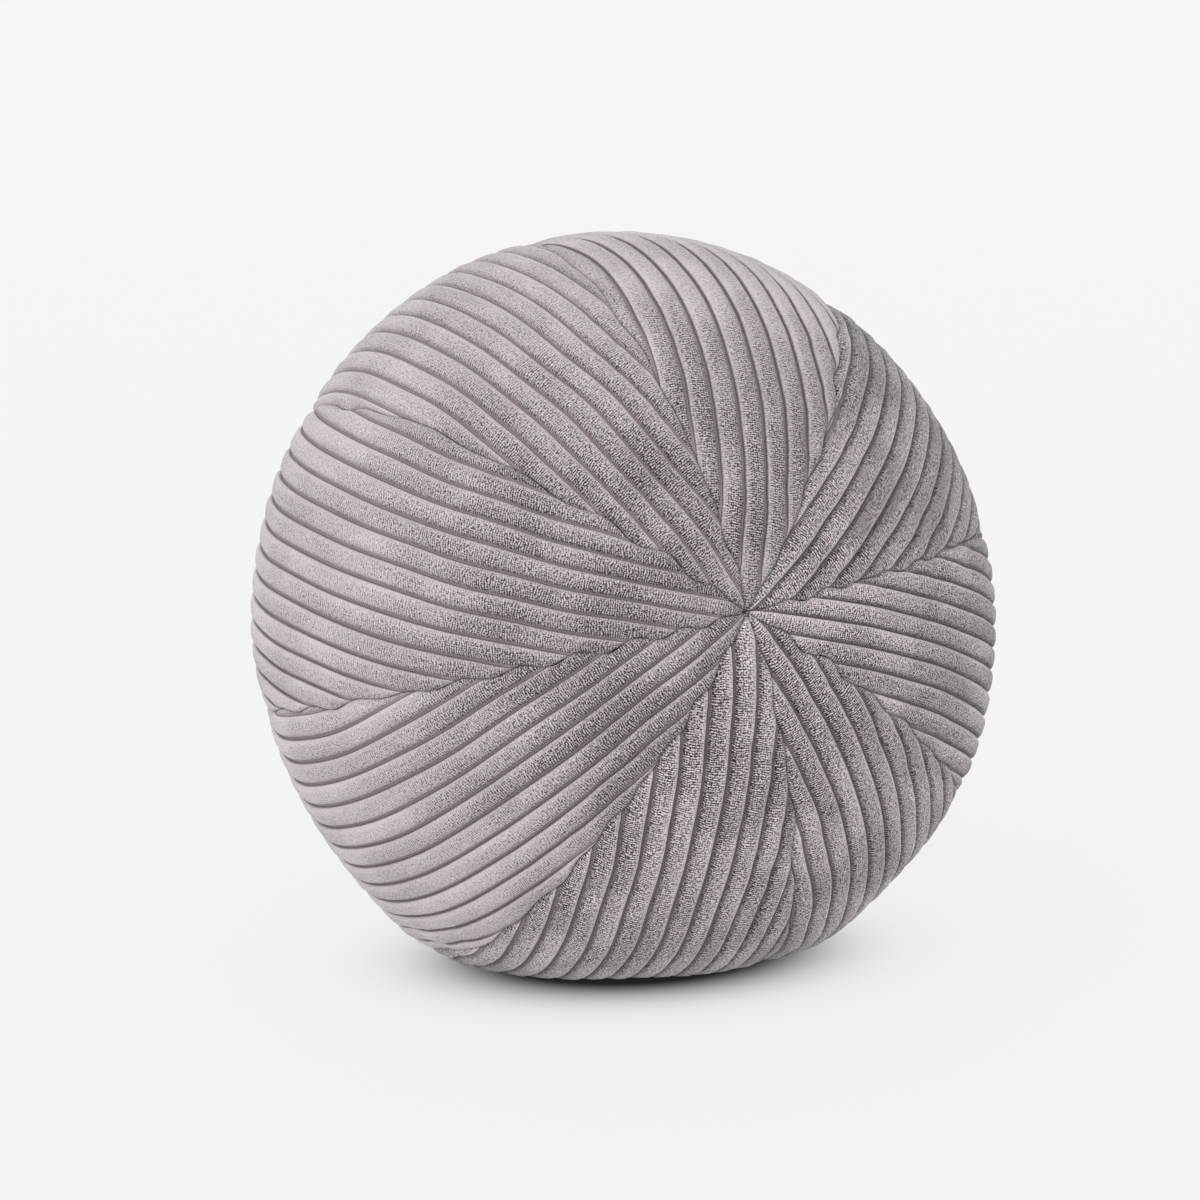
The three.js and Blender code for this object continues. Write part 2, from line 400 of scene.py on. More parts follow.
def pucker_at(gore, side_angle, along):
    """The puckers at places on a gore, read off the coarse map without its facets."""
    share = side_angle / np.maximum(seam_angle(gore, along), TINY)
    column = (gore.number + (np.clip(share, -1, 1) + 1) / 2) * COLUMNS
    row = along / pi * COVER_ROWS - 1
    first_column, first_row = np.floor(column).astype(int), np.floor(row).astype(int)
    total = 0
    for down_rows, row_weight in enumerate(spline_weights(row - first_row)):
        rows = np.clip(first_row + down_rows - 1, 0, len(puckers) - 1)
        for on_columns, weight in enumerate(spline_weights(column - first_column)):
            columns = (first_column + on_columns - 1) % puckers.shape[1]
            total = total + row_weight * weight * puckers[rows, columns]
    return total


print("Puckers along the middle of the top gore, in mm:",
      (1000 * pucker_at(gores[2], np.zeros(5), np.linspace(0.5, 2.6, 5))).round(2))

# %% [markdown]
# ## The section of a wale
#
# Cut across, a wale of jumbo corduroy is a soft arch of pile about 8 mm wide
# and 2 mm high, with steep sides. The groove beside it shows about 1 mm of the
# woven ground. A drawn profile could be swept along each wale, but a formula
# for the height fits wales that grow wider and narrower. The lines of the mesh
# run along the wales, and they stand closest where the section bends most, at
# the foot of the pile.

# %% Wale height across the cloth
WALE_HEIGHT = 0.0021
CROWN_SHIFT = 0.06
RISING_ARCH = 2.8
FALLING_ARCH = 4.2
# The mesh's lines up one side of a wale, as shares from the pile's foot to the crown.
FOOT_TO_CROWN = (0.0, 0.018, 0.058, 0.127, 0.242, 0.425, 0.69, 1.0)
# The line on the groove's floor, as a share of the bare strip's half.
FLOOR_LINE = 0.6


def wale_height(gore, place):
    """The pile's height as a share: 0 on the groove's floor, 1 on the crown."""
    from_middle = gore.nap * (place - np.floor(place) - 0.5) - CROWN_SHIFT
    half = 0.5 - gore.strip
    rising = np.clip(-from_middle / (half + CROWN_SHIFT), 0, 1) ** RISING_ARCH
    falling = np.clip(from_middle / (half - CROWN_SHIFT), 0, 1) ** FALLING_ARCH
    return np.sqrt(1 - np.where(from_middle < 0, rising, falling))


def line_shares(gore):
    """The mesh's lines across one wale, as shares from groove to groove."""
    up_the_side = [gore.strip + (0.5 - gore.strip) * share for share in FOOT_TO_CROWN]
    rising = [0.0, FLOOR_LINE * gore.strip, *up_the_side]
    return rising + [1 - share for share in rising[-2:0:-1]]


print(len(line_shares(gores[0])), "lines across each wale")

# %% [markdown]
# ## Seams that give way to the wales
#
# Where the wales of one gore meet the next gore, each puffed end bulges over
# the seam a little, and the neighbour's groove makes room. So the line where
# two gores meet isn't straight but a row of small lobes. Both neighbours have
# to use the same line, so it is worked out once for each seam.

# %% The rows of the mesh
ROW_STEP = 0.0014
POLE_ROW_STEP = 0.0006
POLE_ROWS_REACH = 0.014


def row_angles():
    """Angles along a gore, from pole to pole, closest together at the poles."""
    half, along = [], 0.0
    while along < pi / 2:
        closer = (ROW_STEP - POLE_ROW_STEP) * hill(along * BALL_RADIUS, POLE_ROWS_REACH)
        along += (ROW_STEP - closer) / BALL_RADIUS
        half.append(along)
    half = np.array(half) * (pi / 2) / half[-1]
    return np.concatenate([half, pi - half[-2::-1]])


rows = row_angles()
print(len(rows), "rows from pole to pole")

# %% The line of each seam
LOBE = 0.0013
SEAM_WANDER = 0.0003
SEAM_WANDER_LENGTH = 0.004
SEAM_SEED = 100
LOBE_START = 0.012


def puff(gore, sign):
    """How full the wales of a gore are along its seam: 0 at a groove, 1 at a crown."""
    start = wale_offset(gore, 0, rows)
    width = wale_offset(gore, 1, rows) - start
    place = (sign * seam_angle(gore, rows) * profile_radius(rows) - start) / width
    return np.sin(pi * place) ** 2


def seam_shift(number):
    """How far a seam leaves its plane towards the gore that starts at it, row by row."""
    before, after = gores[number - 1], gores[number]
    lobes = LOBE * (puff(before, 1) - puff(after, -1))
    wander = SEAM_WANDER * ripple(0, rows * BALL_RADIUS / SEAM_WANDER_LENGTH, SEAM_SEED + number)
    from_pole = np.minimum(rows, pi - rows) * BALL_RADIUS
    return (lobes + wander) * (1 - hill(from_pole, LOBE_START))


shifts = [seam_shift(number) for number in range(len(gores))]
for gore in gores:
    gore.left_shift = -shifts[gore.number]
    gore.right_shift = shifts[(gore.number + 1) % len(gores)]
print("Seams wander up to", round(1000 * np.abs(shifts).max(), 2), "mm")


def edge_angle(gore, sign, shift):
    """The side angle of the sewn edge in each row."""
    lean = np.sqrt(cos(gore.half_width) ** 2 + (np.sin(rows) * sin(gore.half_width)) ** 2)
    return sign * (seam_angle(gore, rows) + np.arcsin(shift / profile_radius(rows) / lean))


# %% [markdown]
# ## The cloth
#
# Now the pieces come together: the ball, the puckers, the wales with their
# rounded ends, the crease of the seams, and the dimple at the poles where all
# the points are drawn together. Each could be a modifier of its own. Here they
# are added up in one function, so that every point is placed only once.

# %% Where the sewing draws the cloth in
SEAM_BLEND = 3
SOFT_CREASE = 0.0009
CREASE_REACH = 0.005
SHARP_CREASE = 0.0003
SHARP_REACH = 0.0012
HOLLOW_DEPTH = 0.0006
HOLLOW_REACH = 0.022
POLE_DEPTH = 0.0010
POLE_REACH = 0.006
HOLE_DEPTH = 0.0032
HOLE_REACH = 0.0014


def from_seams(gore, directions, radius, left_shift, right_shift):
    """The distance to the nearest seam, blended so that it has no ridge in the middle."""
    inwards = directions @ gore.middle * sin(gore.half_width)
    sideways = directions @ gore.side * cos(gore.half_width)
    left = np.maximum(radius * (inwards + sideways) + left_shift, TINY)
    right_side = np.maximum(radius * (inwards - sideways) + right_shift, TINY)
    return (left ** -SEAM_BLEND + right_side ** -SEAM_BLEND) ** (-1 / SEAM_BLEND)


def drawn_in(seam, from_pole):
    """How deep the seams and the poles pull the cloth in."""
    creases = SOFT_CREASE * hill(seam, CREASE_REACH) + SHARP_CREASE * hill(seam, SHARP_REACH)
    dimples = POLE_DEPTH * hill(from_pole, POLE_REACH) + HOLE_DEPTH * hill(from_pole, HOLE_REACH)
    return creases + HOLLOW_DEPTH * hill(seam, HOLLOW_REACH) + dimples


print("The poles are drawn in by", round(1000 * drawn_in(0, 0), 1), "mm")

# %% A point of the cloth
END_ROUNDING = 0.0026
END_HEIGHT = 0.35
PINCH = 0.7
PINCH_REACH = 0.0045
PILE_UNEVEN = 0.00008
PILE_UNEVEN_LENGTH = 0.0016
PILE_UNEVEN_ACROSS = 5
PILE_SEED = 30


def cloth_points(gore, side_angle, along, place, left_shift, right_shift):
    """Where the cloth is, from its place among the wales and its distance from the seams."""
    directions = direction_to(gore, side_angle, along)
    radius = ball_surface(directions) + pucker_at(gore, side_angle, along)
    seam = from_seams(gore, directions, radius, left_shift, right_shift)
    from_pole = radius * np.arccos(np.clip(np.abs(directions @ pole), 0, 1))

    inside = np.clip(seam / END_ROUNDING, 0, 1)
    pile = 1 - (1 - wale_height(gore, place)) * (1 - PINCH * hill(seam, PINCH_REACH))
    pile = pile * (END_HEIGHT + (1 - END_HEIGHT) * np.sqrt(1 - (1 - inside) ** 2))
    lengthwise = along * BALL_RADIUS / PILE_UNEVEN_LENGTH
    uneven = PILE_UNEVEN * ripple(place * PILE_UNEVEN_ACROSS, lengthwise, PILE_SEED + gore.number)
    radius = radius - WALE_HEIGHT * (1 - pile) + uneven * pile - drawn_in(seam, from_pole)

    points = directions * radius[:, None] + gore.stand_off + np.array(BALL_CENTRE)
    points[:, 2] = np.maximum(points[:, 2], 0)
    return points


# %% [markdown]
# ## One mesh for each gore
#
# A grid that simply followed the seams would cut through the wales at a slant,
# and their edges would come out jagged. So the lines of this mesh follow the
# wales. Each row holds the lines that are inside the gore there, and a point on
# either seam. Between two rows most lines go on, which makes neat quads. Where
# a line starts or ends at the seam, a few triangles fill in.

# %% Join two rows of points
def zip_rows(near, far):
    """Triangles between two short rows of (vertex, place), both from left to right."""
    triangles, i, j = [], 0, 0
    while i < len(near) - 1 or j < len(far) - 1:
        near_ends, far_ends = i == len(near) - 1, j == len(far) - 1
        if near_ends or (not far_ends and far[j + 1][1] <= near[i + 1][1]):
            triangles.append((near[i][0], far[j][0], far[j + 1][0]))
            j += 1
        else:
            triangles.append((near[i][0], far[j][0], near[i + 1][0]))
            i += 1
    return triangles


print("Two short rows make", zip_rows([(0, 0.0), (1, 1.0)], [(2, 0.0), (3, 0.5), (4, 1.0)]))

# %% The points of a gore, row by row
GROOVE_WANDER = 0.00022
GROOVE_WANDER_LENGTH = 0.009
GROOVE_WANDER_ACROSS = 1.2
GROOVE_SEED = 60
EDGE_MARGIN = 0.00022


def gore_lines(gore):
    """The places of the mesh's lines, from one side of the gore to the other."""
    widest = gore.half_width * BALL_RADIUS + abs(gore.lean) + abs(gore.slant)
    reach = int(widest / gore.pitch) + 2
    wales = np.arange(-reach, reach + 1)
    return (wales[:, None] + np.array(line_shares(gore))).ravel()


def gore_rows(gore):
    """Offset, place and presence of every point: a row for each angle, with a seam at each end."""
    places = gore_lines(gore)
    along = rows[:, None]
    lengthwise = along * BALL_RADIUS / GROOVE_WANDER_LENGTH
    wander = ripple(places * GROOVE_WANDER_ACROSS, lengthwise, GROOVE_SEED + gore.number)
    offsets = wale_offset(gore, places, along) + GROOVE_WANDER * wander
    radius = profile_radius(rows)
    left = edge_angle(gore, -1, gore.left_shift) * radius
    right_side = edge_angle(gore, 1, gore.right_shift) * radius
    past_left = offsets > left[:, None] + EDGE_MARGIN
    present = past_left & (offsets < right_side[:, None] - EDGE_MARGIN)

    edges = np.stack([left, right_side], axis=1)
    edge_places = np.array([np.interp(edge, row, places) for edge, row in zip(edges, offsets)])
    grid_places = np.broadcast_to(places, offsets.shape)
    sewn = np.ones((len(rows), 1), bool)
    return (np.hstack([edges[:, :1], offsets, edges[:, 1:]]),
            np.hstack([edge_places[:, :1], grid_places, edge_places[:, 1:]]),
            np.hstack([sewn, present, sewn]))


# %% The faces of a gore
def row_chain(number, places, present):
    """The points of one row that are there, as (vertex, place)."""
    return [(number[c], places[c]) for c in np.nonzero(present)[0]]


def gore_faces(number, places, present):
    """Quads where the lines go on, and triangles along the seams."""
    lines = present.copy()
    lines[:, [0, -1]] = False
    go_on = lines[:-1, :-1] & lines[:-1, 1:] & lines[1:, :-1] & lines[1:, 1:]
    row, line = np.nonzero(go_on)
    quads = np.stack([number[row, line], number[row + 1, line],
                      number[row + 1, line + 1], number[row, line + 1]], axis=1)
    triangles = []
    for row in range(len(rows) - 1):
        chains = [row_chain(number[r], places[r], present[r]) for r in (row, row + 1)]
        shared = np.nonzero(lines[row] & lines[row + 1])[0]
        if len(shared) == 0:
            triangles += zip_rows(*chains)
            continue
        first, last = places[row, shared[0]], places[row, shared[-1]]
        starts = [[point for point in chain if point[1] <= first] for chain in chains]
        ends = [[point for point in chain if point[1] >= last] for chain in chains]
        triangles += zip_rows(*starts) + zip_rows(*ends)
    return quads.tolist(), triangles


# %% The whole gore, closed behind by the filling's flat sides
def make_gore(gore):
    """A closed mesh: the cloth, and two flat walls that meet on the line between the poles."""
    offsets, places, present = gore_rows(gore)
    row = np.nonzero(present)[0]
    along = rows[row]
    side_angle = offsets[present] / profile_radius(along)
    points = cloth_points(gore, side_angle, along, places[present],
                          gore.left_shift[row], gore.right_shift[row])
    number = np.full(present.shape, -1)
    number[present] = np.arange(len(points))

    tip = profile_radius(0) - WALE_HEIGHT * (1 - END_HEIGHT) - drawn_in(0, 0)
    centre = gore.stand_off + np.array(BALL_CENTRE)
    points = np.vstack([points, centre + tip * pole, centre - tip * pole, centre])
    front, back, middle = len(points) - 3, len(points) - 2, len(points) - 1

    quads, cloth = gore_faces(number, places, present)
    first, last = number[0][present[0]], number[-1][present[-1]]
    cloth += [(front, first[i], first[i + 1]) for i in range(len(first) - 1)]
    cloth += [(back, last[i + 1], last[i]) for i in range(len(last) - 1)]
    left = [front, *number[:, 0], back]
    right_side = [front, *number[:, -1], back]
    walls = [(middle, b, a) for a, b in zip(left, left[1:])]
    walls += [(middle, a, b) for a, b in zip(right_side, right_side[1:])]

    mesh = bpy.data.meshes.new(gore.name)
    mesh.from_pydata(points.tolist(), [], quads + cloth + walls)
    is_cloth = np.arange(len(mesh.polygons)) < len(quads) + len(cloth)
    mesh.polygons.foreach_set("use_smooth", is_cloth)
    lay_flat(mesh, gore, np.append(places[present], [0, 0, 0]), np.append(along, [0, pi, pi / 2]))
    gore_object = bpy.data.objects.new("corduroy_gore_" + gore.name, mesh)
    bpy.context.scene.collection.objects.link(gore_object)
    return gore_object


# %% [markdown]
# ## Laying the cloth out flat
#
# Pile, rows of tufts and groove floors all follow the weave, so the material
# needs to know where it is on the cloth. A UV map gives that: the first number
# counts wales, and the second runs along them at the same scale. The bare strips
# are drawn equally wide on it, so one material fits them all, and each gore
# starts at its own place, so that no two carry the same pattern.

# %% The map of wales
FLAT_WALE = 0.009
GORE_SHIFT = 40
FLAT_STRIP = 0.06


def lay_flat(mesh, gore, places, along):
    """Writes the map: u counts wales across the cloth, v runs along them."""
    mesh.update()
    wale = np.floor(places)
    real_edges = (0, gore.strip, 1 - gore.strip, 1)
    even = wale + np.interp(places - wale, real_edges, (0, FLAT_STRIP, 1 - FLAT_STRIP, 1))
    across = gore.nap * even + GORE_SHIFT * (gore.number + 1)
    lengthwise = along * BALL_RADIUS / FLAT_WALE
    corners = np.empty(len(mesh.loops), int)
    mesh.loops.foreach_get("vertex_index", corners)
    layer = mesh.uv_layers.new(name="Wales")
    layer.uv.foreach_set("vector", np.stack([across, lengthwise], axis=1)[corners].ravel())


# %% Make all eight
gore_objects = {gore.name: make_gore(gore) for gore in gores}
for name, piece in gore_objects.items():
    count = sum(len(face.vertices) - 2 for face in piece.data.polygons)
    print(name, "has", count, "triangles")

# %% [markdown]
# ## Corduroy
#
# The pile is cut in rows of tiny tufts across each wale, about nine to a
# centimetre, and looks like fine dashes where it faces the eye. One side of a
# wale is brushed open and shows its tufts, and the other lies smooth. The open
# side is also darkened with painted shade, with more painted shade up from the
# groove and a thin painted shadow line at the pile's foot. The smooth side
# is left lighter as painted light. Between the wales the darker woven ground
# shows. Handling leaves cloudy patches where the nap lies another way. A painted
# picture of the cloth would blur or repeat, so these marks are made from noise
# and repeating steps on the flat map. All of it is one node group, because three
# materials use it: one for three gores, one for the four at the top and left,
# whose pile was stroked smooth towards the waist, and a darker one for a gore
# cut the other way up.

# %% Helpers for node trees
def join(tree, source, target):
    """Links an output to an input, or sets the input where the source is a plain value."""
    if isinstance(source, bpy.types.NodeSocket):
        tree.links.new(source, target)
    elif source is not None:
        target.default_value = source


def math_node(tree, operation, first, second=None, third=None, clamp=False):
    """A Math node whose inputs are sockets or plain numbers."""
    node = tree.nodes.new("ShaderNodeMath")
    node.operation = operation
    node.use_clamp = clamp
    for socket, value in zip(node.inputs, (first, second, third)):
        join(tree, value, socket)
    return node.outputs[0]


def range_node(tree, value, low, high, to_low=0.0, to_high=1.0):
    """A smooth step from one range of values to another."""
    node = tree.nodes.new("ShaderNodeMapRange")
    node.interpolation_type = "SMOOTHSTEP"
    for name, number in (("Value", value), ("From Min", low), ("From Max", high),
                         ("To Min", to_low), ("To Max", to_high)):
        join(tree, number, node.inputs[name])
    return node.outputs["Result"]


def noise_node(tree, vector, scale, detail=2.0):
    """Noise from 0 to 1 at a scale for each direction."""
    stretched = tree.nodes.new("ShaderNodeVectorMath")
    stretched.operation = "MULTIPLY"
    join(tree, vector, stretched.inputs[0])
    stretched.inputs[1].default_value = scale
    node = tree.nodes.new("ShaderNodeTexNoise")
    node.inputs["Scale"].default_value = 1
    node.inputs["Detail"].default_value = detail
    join(tree, stretched.outputs[0], node.inputs["Vector"])
    return node.outputs["Fac"]


def mix_node(tree, kind, share, first, second, blend="MIX"):
    """A mix of two numbers (kind FLOAT) or of two colours (kind RGBA)."""
    node = tree.nodes.new("ShaderNodeMix")
    node.data_type = kind
    node.blend_type = blend
    for name, value in (("Factor", share), ("A", first), ("B", second)):
        join(tree, value, node.inputs[name])
    return node.outputs["Result"]


# %% The group's inputs and outputs
cloth_group = bpy.data.node_groups.new("Corduroy", "ShaderNodeTree")
for name, kind, value in (
    ("Wales", "NodeSocketVector", None),
    ("Pile Colour", "NodeSocketColor", (0.58, 0.55, 0.55, 1)),
    ("Shadow Colour", "NodeSocketColor", (0.10, 0.08, 0.085, 1)),
    ("Ground Colour", "NodeSocketColor", (0.25, 0.22, 0.23, 1)),
    ("Tuft Contrast", "NodeSocketFloat", 1.0),
    ("Waist Contrast", "NodeSocketFloat", 1.0),
    ("Foot Shade", "NodeSocketFloat", 0.2),
):
    socket = cloth_group.interface.new_socket(name, in_out="INPUT", socket_type=kind)
    if value is not None:
        socket.default_value = value
for name, kind in (("Color", "Color"), ("Roughness", "Float"), ("Height", "Float")):
    cloth_group.interface.new_socket(name, in_out="OUTPUT", socket_type="NodeSocket" + kind)
group_in = cloth_group.nodes.new("NodeGroupInput")
group_out = cloth_group.nodes.new("NodeGroupOutput")

# The helpers again, for this group alone, so that the recipe below reads easily.
link = partial(join, cloth_group)
maths = partial(math_node, cloth_group)
ramp = partial(range_node, cloth_group)
noise = partial(noise_node, cloth_group)
mix_numbers = partial(mix_node, cloth_group, "FLOAT")
mix_colours = partial(mix_node, cloth_group, "RGBA")
print("The group has", len(cloth_group.interface.items_tree), "inputs and outputs")

# %% Grooves and the two sides of a wale
# Places across a wale count from 0 to 1, and 0 is the middle of a groove.
FRAY = 0.05
FRAY_SCALE = (6, 12, 1)
BARE_EDGE = (0.080, 0.105)
# The foot line is a thin painted shadow at the foot of the pile's steep side, in the groove.
FOOT_SHADOW_EDGE = (0.012, 0.034)
# The open side of a wale gets more tufts and dark pits, partly its brushed-open nap and partly
# painted shade. The smooth side, with fewer, is partly painted light.
OPEN_AND_SHADED_SIDE = (0.62, 0.12)
# Painted shade that darkens the open side from its groove upwards.
OPEN_FOOT_SHADE = (0.26, 0.07)
SMOOTH_AND_LIT_SIDE = (0.92, 0.62)
SMOOTH_SIDE_TUFTS = 0.35

wales = group_in.outputs["Wales"]
parts = cloth_group.nodes.new("ShaderNodeSeparateXYZ")
link(wales, parts.inputs[0])
across, along_wale = parts.outputs["X"], parts.outputs["Y"]
from_groove = maths("PINGPONG", across, 0.5)
frayed = maths("MULTIPLY_ADD", noise(wales, FRAY_SCALE), FRAY, from_groove)
ground = ramp(frayed, *BARE_EDGE, 1, 0)
across_wale = maths("FRACT", across)
# Painted shadow: a thin dark line where the pile's steep side meets the groove.
from_foot = maths("ABSOLUTE", maths("SUBTRACT", across_wale, 1 - FLAT_STRIP))
foot_shadow_line = ramp(from_foot, *FOOT_SHADOW_EDGE, 1, 0)
# Painted shade on the open side of each wale and painted light on the smooth side, besides the nap's
# real two sides.
open_and_shaded_side = ramp(across_wale, *OPEN_AND_SHADED_SIDE)
open_foot_shade = ramp(across_wale, *OPEN_FOOT_SHADE)
smooth_and_lit_side = ramp(across_wale, *SMOOTH_AND_LIT_SIDE, SMOOTH_SIDE_TUFTS, 1.0)
print("Grooves and sides:", len(cloth_group.nodes), "nodes so far")

# %% Crushed patches
# Each wale's patches slip a little, so that they end at grooves.
PATCH_SLIP = 0.3
PATCH_SCALE = (0.24, 0.20, 1)
PATCH_EDGE = (0.42, 0.60)

patch_point = cloth_group.nodes.new("ShaderNodeCombineXYZ")
wale_number = maths("FLOOR", across)
link(maths("MULTIPLY_ADD", wale_number, PATCH_SLIP, across), patch_point.inputs["X"])
link(along_wale, patch_point.inputs["Y"])
crushed = ramp(noise(patch_point.outputs[0], PATCH_SCALE), *PATCH_EDGE)
print("Patches:", len(cloth_group.nodes), "nodes so far")

# %% Rows of tufts, broken into dashes
TUFT_ROWS = 8.4
BEND = 3.0
BEND_SCALE = (1.6, 0.9, 1)
ROW_LINE = (0.12, 0.30)
BREAK_SCALE = (8.0, 9.0, 1)
# More dashes on the open side add to its painted shade.
BREAKS_ON_OPEN_SHADED_SIDE = 0.10
BREAKS_WHERE_CRUSHED = -0.06
DASH_SHOWS = (0.36, 0.50)

bend = noise(wales, BEND_SCALE, 1)
bent_rows = maths("MULTIPLY_ADD", along_wale, TUFT_ROWS, maths("MULTIPLY", bend, BEND))
row_lines = ramp(maths("PINGPONG", bent_rows, 0.5), *ROW_LINE, 1, 0)
showing = maths("MULTIPLY_ADD", open_and_shaded_side, BREAKS_ON_OPEN_SHADED_SIDE, noise(wales, BREAK_SCALE))
showing = maths("MULTIPLY_ADD", crushed, BREAKS_WHERE_CRUSHED, showing)
dashes = maths("MULTIPLY", row_lines, ramp(showing, *DASH_SHOWS))
print("Dashes:", len(cloth_group.nodes), "nodes so far")

# %% Dots, flecks, fibres and streaks
TUFTS_ACROSS = 10
TUFT_JITTER = 0.5
DOT_SIZE = (0.15, 0.45)
DOT_SHOWS = (0.26, 0.50)
FLECK_SCALE = (8, 11, 1)
FLECK_SHOWS = (0.53, 0.61)
FIBRE_SCALE = (12, 17, 1)
STREAK_SCALE = (1.1, 0.16, 1)
STREAK_EDGE = (0.38, 0.62)

tuft_point = cloth_group.nodes.new("ShaderNodeCombineXYZ")
link(maths("MULTIPLY", across, TUFTS_ACROSS), tuft_point.inputs["X"])
link(maths("ADD", bent_rows, TUFT_JITTER / 2), tuft_point.inputs["Y"])
tufts = cloth_group.nodes.new("ShaderNodeTexVoronoi")
tufts.voronoi_dimensions = "2D"
tufts.inputs["Scale"].default_value = 1
tufts.inputs["Randomness"].default_value = TUFT_JITTER
link(tuft_point.outputs[0], tufts.inputs["Vector"])
dots = ramp(tufts.outputs["Distance"], *DOT_SIZE, 1, 0)
dots = maths("MULTIPLY", dots, ramp(showing, *DOT_SHOWS))
flecks = ramp(noise(wales, FLECK_SCALE, 3), *FLECK_SHOWS)
fibres = noise(wales, FIBRE_SCALE)
streaks = ramp(noise(wales, STREAK_SCALE), *STREAK_EDGE)
print("Dots and streaks:", len(cloth_group.nodes), "nodes so far")

# %% How dark each spot of the pile is
WAIST_PLACE = pi / 2 * BALL_RADIUS / FLAT_WALE
WAIST_START, WAIST_END = 8, 20
CRUSHED_FULLNESS = 0.80
DASH_STRENGTH = 0.55
FLECK_STRENGTH = 0.6
STREAK_SHADE = 0.09
PATCH_SHADE = 0.03
FIBRE_EDGE = (0.68, 0.32)
FIBRE_SHADE = 0.36

from_pole = maths("PINGPONG", along_wale, WAIST_PLACE)
waist = ramp(from_pole, WAIST_START, WAIST_END)
near_waist = mix_numbers(waist, 1, group_in.outputs["Waist Contrast"])
fullness = maths("MULTIPLY", ramp(crushed, 0, 1, 1.0, CRUSHED_FULLNESS), near_waist)
marks = maths("MAXIMUM", maths("MULTIPLY", dashes, DASH_STRENGTH), dots)
pits = maths("MULTIPLY_ADD", flecks, FLECK_STRENGTH, marks)
pits = maths("MULTIPLY", maths("MULTIPLY", pits, smooth_and_lit_side), fullness, clamp=True)
shades = maths("MULTIPLY_ADD", streaks, STREAK_SHADE, ramp(crushed, 0, 1, PATCH_SHADE, 0))
loose_fibres = maths("MULTIPLY", ramp(fibres, *FIBRE_EDGE, 0, FIBRE_SHADE), near_waist)
# Painted shade up the open side from the groove, added to the random darkness of loose fibres.
fibres_and_foot_shade = maths("MULTIPLY_ADD", open_foot_shade, group_in.outputs["Foot Shade"], loose_fibres)
dark = maths("ADD", maths("ADD", fibres_and_foot_shade, shades), pits)
dark = maths("MULTIPLY", dark, group_in.outputs["Tuft Contrast"], clamp=True)
print("Darkness:", len(cloth_group.nodes), "nodes so far")

# %% Colour, roughness and height
FOOT_LINE_SHADE = 0.6
ROSE = (1.0, 0.953, 0.982, 1)
MOSS = (0.975, 0.985, 0.957, 1)
TONE_SCALE = (2.4, 1.8, 1)
TONE_EDGE = (0.35, 0.65)
LOOSE_ROUGHNESS, CRUSHED_ROUGHNESS = 0.97, 0.88
FIBRE_HEIGHT = 0.5
PIT_DEPTH = 0.7

shadow = group_in.outputs["Shadow Colour"]
pile = mix_colours(dark, group_in.outputs["Pile Colour"], shadow)
colour = mix_colours(ground, pile, group_in.outputs["Ground Colour"])
# The painted shadow line along the foot of the pile.
colour = mix_colours(maths("MULTIPLY", foot_shadow_line, FOOT_LINE_SHADE), colour, shadow)
tones = ramp(noise(wales, TONE_SCALE, 3), *TONE_EDGE)
colour = mix_colours(1, colour, mix_colours(tones, ROSE, MOSS), "MULTIPLY")
link(colour, group_out.inputs["Color"])
link(ramp(crushed, 0, 1, LOOSE_ROUGHNESS, CRUSHED_ROUGHNESS), group_out.inputs["Roughness"])
fibre_height = maths("MULTIPLY_ADD", fibres, FIBRE_HEIGHT, 1 - FIBRE_HEIGHT)
link(maths("SUBTRACT", fibre_height, maths("MULTIPLY", pits, PIT_DEPTH)), group_out.inputs["Height"])
print("The corduroy group has", len(cloth_group.nodes), "nodes")


# %% A material from the group
BUMP_STRENGTH = 0.6
BUMP_HEIGHT = 0.0005
SHEEN = 0.35
SHEEN_TINT = (1, 0.98, 0.985, 1)


def corduroy(name, pile, shadow, ground, contrast, waist_contrast, foot_shade):
    """A corduroy with its own colours, and its own strength of tufts, waist and foot shade."""
    material = bpy.data.materials.new(name)
    material.use_nodes = True
    tree = material.node_tree
    shader = tree.nodes["Principled BSDF"]
    cloth = tree.nodes.new("ShaderNodeGroup")
    cloth.node_tree = cloth_group
    for socket, value in (("Pile Colour", (*pile, 1)), ("Shadow Colour", (*shadow, 1)),
                          ("Ground Colour", (*ground, 1)), ("Tuft Contrast", contrast),
                          ("Waist Contrast", waist_contrast), ("Foot Shade", foot_shade)):
        cloth.inputs[socket].default_value = value
    flat_map = tree.nodes.new("ShaderNodeUVMap")
    flat_map.uv_map = "Wales"
    join(tree, flat_map.outputs["UV"], cloth.inputs["Wales"])
    bump = tree.nodes.new("ShaderNodeBump")
    bump.inputs["Strength"].default_value = BUMP_STRENGTH
    bump.inputs["Distance"].default_value = BUMP_HEIGHT
    join(tree, cloth.outputs["Height"], bump.inputs["Height"])
    join(tree, cloth.outputs["Color"], shader.inputs["Base Color"])
    join(tree, cloth.outputs["Roughness"], shader.inputs["Roughness"])
    join(tree, bump.outputs["Normal"], shader.inputs["Normal"])
    shader.inputs["Specular IOR Level"].default_value = 0.15
    shader.inputs["Sheen Weight"].default_value = SHEEN
    shader.inputs["Sheen Roughness"].default_value = 0.5
    shader.inputs["Sheen Tint"].default_value = SHEEN_TINT
    return material


# %% The three finishes
GROUND = (0.17, 0.143, 0.154)
PALE_GROUND = (0.28, 0.238, 0.256)
SHADOW = (0.03, 0.022, 0.025)
DEEP_SHADOW = (0.027, 0.020, 0.023)

